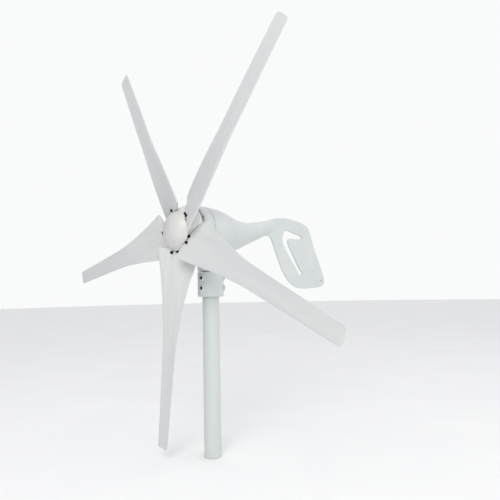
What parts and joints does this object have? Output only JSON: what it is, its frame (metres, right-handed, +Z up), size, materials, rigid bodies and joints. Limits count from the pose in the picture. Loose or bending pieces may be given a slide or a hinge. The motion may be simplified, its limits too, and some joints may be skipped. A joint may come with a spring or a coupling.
{
  "type": "small wind turbine",
  "caption": "Small horizontal-axis wind turbine: pitched blades on a domed hub, a streamlined generator body with an integral tail fin, and a free-turning yaw head on a mast.",
  "frame": {"origin": "on the mast's axis, at the mast tube's lower end face", "axes": "+Z up along the mast, -Y towards the nose and the wind, +Y towards the tail fin, +X to the right seen from the front"},
  "size_m": [1.1398, 0.6698, 1.1601],
  "materials": {
    "body_paint": "satin off-white paint on a casting",
    "blade_nylon": "moulded fibre-filled nylon, off-white, satin",
    "mast_paint": "satin off-white paint on steel tube",
    "cast_metal": "bare casting, fine grain",
    "dark_steel": "blackened fastener steel",
    "bright_steel": "turned steel",
    "laminated_iron": "stacked laminations, lacquered",
    "copper_wire": "enamelled copper wire",
    "brass_ring": "turned brass",
    "seal_rubber": "matte rubber",
    "insulating_resin": "moulded resin",
    "brush_carbon": "pressed carbon"
  },
  "bodies": {
    "mast": {"mast_tube": "mast_paint", "yaw_collar": "body_paint", "collar_screw_1": "dark_steel", "collar_screw_2": "dark_steel", "collar_screw_3": "dark_steel", "collar_screw_4": "dark_steel", "collar_screw_5": "dark_steel", "collar_screw_6": "dark_steel", "yaw_shaft": "bright_steel", "yaw_nut": "bright_steel", "yaw_bearing_lower_inner": "bright_steel", "yaw_bearing_upper_inner": "bright_steel", "slip_ring_drum": "insulating_resin", "slip_ring_1": "brass_ring", "slip_ring_2": "brass_ring", "slip_ring_3": "brass_ring"},
    "nacelle": {"rear_body": "body_paint", "front_shell": "body_paint", "shell_screw_1": "bright_steel", "shell_screw_2": "bright_steel", "shell_screw_3": "bright_steel", "bearing_plate": "cast_metal", "stator_core": "laminated_iron", "stator_winding": "copper_wire", "front_bearing_outer": "bright_steel", "rear_bearing_outer": "bright_steel", "front_seal": "seal_rubber", "yaw_bearing_lower_outer": "bright_steel", "yaw_bearing_upper_outer": "bright_steel", "yaw_seal": "seal_rubber", "brush_holder": "insulating_resin", "brush_1": "brush_carbon", "brush_2": "brush_carbon", "brush_3": "brush_carbon"},
    "rotor": {"hub": "body_paint", "blade_1": "blade_nylon", "blade_2": "blade_nylon", "blade_3": "blade_nylon", "blade_4": "blade_nylon", "blade_5": "blade_nylon", "blade_bolt_1_1": "dark_steel", "blade_bolt_1_2": "dark_steel", "blade_bolt_2_1": "dark_steel", "blade_bolt_2_2": "dark_steel", "blade_bolt_3_1": "dark_steel", "blade_bolt_3_2": "dark_steel", "blade_bolt_4_1": "dark_steel", "blade_bolt_4_2": "dark_steel", "blade_bolt_5_1": "dark_steel", "blade_bolt_5_2": "dark_steel", "nose_cone": "body_paint", "rotor_shaft": "bright_steel", "hub_nut": "bright_steel", "magnet_rotor": "laminated_iron", "front_bearing_inner": "bright_steel", "rear_bearing_inner": "bright_steel"},
    "rotor_balls": {"front_bearing_balls": "bright_steel", "rear_bearing_balls": "bright_steel"},
    "yaw_balls": {"yaw_bearing_lower_balls": "bright_steel", "yaw_bearing_upper_balls": "bright_steel"}
  },
  "joints": [
    {"name": "yaw", "type": "hinge", "parent": "mast", "child": "nacelle", "pos_m": [0, 0, 0.54], "axis": [0, 0, 1], "continuous": true},
    {"name": "rotor_spin", "type": "hinge", "parent": "nacelle", "child": "rotor", "pos_m": [0, -0.118, 0.626], "axis": [0, 1, 0], "continuous": true},
    {"name": "rotor_ball_orbit", "type": "hinge", "parent": "nacelle", "child": "rotor_balls", "pos_m": [0, -0.118, 0.626], "axis": [0, 1, 0], "continuous": true},
    {"name": "yaw_ball_orbit", "type": "hinge", "parent": "mast", "child": "yaw_balls", "pos_m": [0, 0, 0.54], "axis": [0, 0, 1], "continuous": true}
  ],
  "couplings": [
    {"joint": "rotor_ball_orbit", "follows": "rotor_spin", "ratio": 0.4097},
    {"joint": "yaw_ball_orbit", "follows": "yaw", "ratio": 0.5639}
  ]
}
